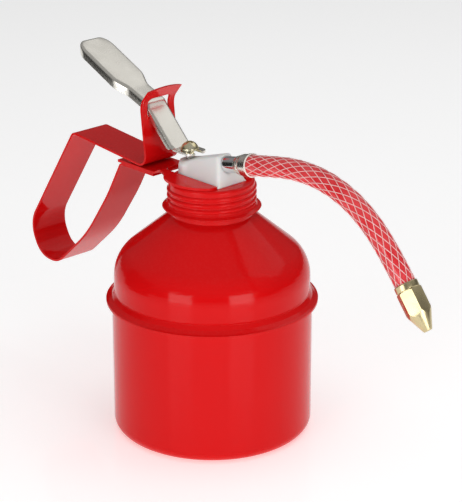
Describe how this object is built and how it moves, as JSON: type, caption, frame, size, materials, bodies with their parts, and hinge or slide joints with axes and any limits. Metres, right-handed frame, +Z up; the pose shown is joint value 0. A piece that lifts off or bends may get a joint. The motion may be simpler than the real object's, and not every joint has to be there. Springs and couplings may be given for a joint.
{
  "type": "pump oil can",
  "caption": "Hand pump oil can: red steel can with screw cap, strap handle, squeeze lever, piston pump and flexible hose spout with brass nozzle.",
  "frame": {"origin": "centre of the can's flat base", "axes": "+Z up along the can, +X towards the spout, -X towards the handle"},
  "size_m": [0.2462, 0.0952, 0.1654],
  "materials": {
    "red_enamel": "gloss",
    "nickel_plate": "satin",
    "white_nylon": "semi-matt",
    "yellow_zinc": "satin",
    "bright_zinc": "satin",
    "spring_steel": "bright",
    "brass": "turned",
    "black_rubber": "matt",
    "red_hose": "clear coated",
    "suction_plastic": "semi-matt"
  },
  "bodies": {
    "can": {"can_cup": "red_enamel", "can_shoulder": "red_enamel"},
    "gasket": {"cap_gasket": "black_rubber"},
    "head": {"screw_cap": "red_enamel", "base_plate": "red_enamel", "handle_strap": "red_enamel", "pump_block": "white_nylon", "rod_seal": "black_rubber", "block_lock_nut": "bright_zinc", "outlet_seat": "brass", "outlet_spring": "spring_steel", "pump_barrel": "bright_zinc", "barrel_foot": "brass", "suction_tube": "suction_plastic", "strainer": "brass", "return_spring": "spring_steel", "spout_nipple": "bright_zinc", "hose_sleeve": "nickel_plate", "spout_hose": "red_hose", "nozzle": "brass"},
    "lever": {"lever": "nickel_plate"},
    "pump_rod": {"piston": "brass", "piston_seal": "black_rubber", "piston_rod": "spring_steel", "rod_coupler": "yellow_zinc", "lever_washer": "yellow_zinc", "lever_screw": "yellow_zinc"},
    "inlet_ball": {"inlet_ball": "spring_steel"},
    "outlet_ball": {"outlet_ball": "spring_steel"}
  },
  "joints": [
    {"name": "cap_rise", "type": "slide", "parent": "can", "child": "gasket", "axis": [0, 0, 1], "range_m": [0, 0.00825]},
    {"name": "cap_turn", "type": "hinge", "parent": "gasket", "child": "head", "pos_m": [0, 0, 0.11], "axis": [0, 0, 1], "range_deg": [0, 1080]},
    {"name": "lever_pull", "type": "hinge", "parent": "head", "child": "lever", "pos_m": [-0.0352, 0, 0.1392], "axis": [0, -1, 0], "range_deg": [0, 18], "stiffness_Nm_per_rad": 0.24, "springref_deg": -9.4},
    {"name": "piston_lift", "type": "slide", "parent": "head", "child": "pump_rod", "axis": [0, 0, 1], "range_m": [0, 0.0077], "deforming": ["return_spring"]},
    {"name": "inlet_lift", "type": "slide", "parent": "head", "child": "inlet_ball", "axis": [0, 0, 1], "range_m": [0, 0.0006]},
    {"name": "outlet_lift", "type": "slide", "parent": "head", "child": "outlet_ball", "axis": [0, 0, 1], "range_m": [0, 0.0006], "stiffness_N_per_m": 100, "springref_m": -0.001, "deforming": ["outlet_spring"]}
  ],
  "couplings": [
    {"joint": "cap_rise", "follows": "cap_turn", "m_per_rad": 0.00043768},
    {"joint": "piston_lift", "follows": "lever_pull", "m_per_rad": 0.0244}
  ]
}
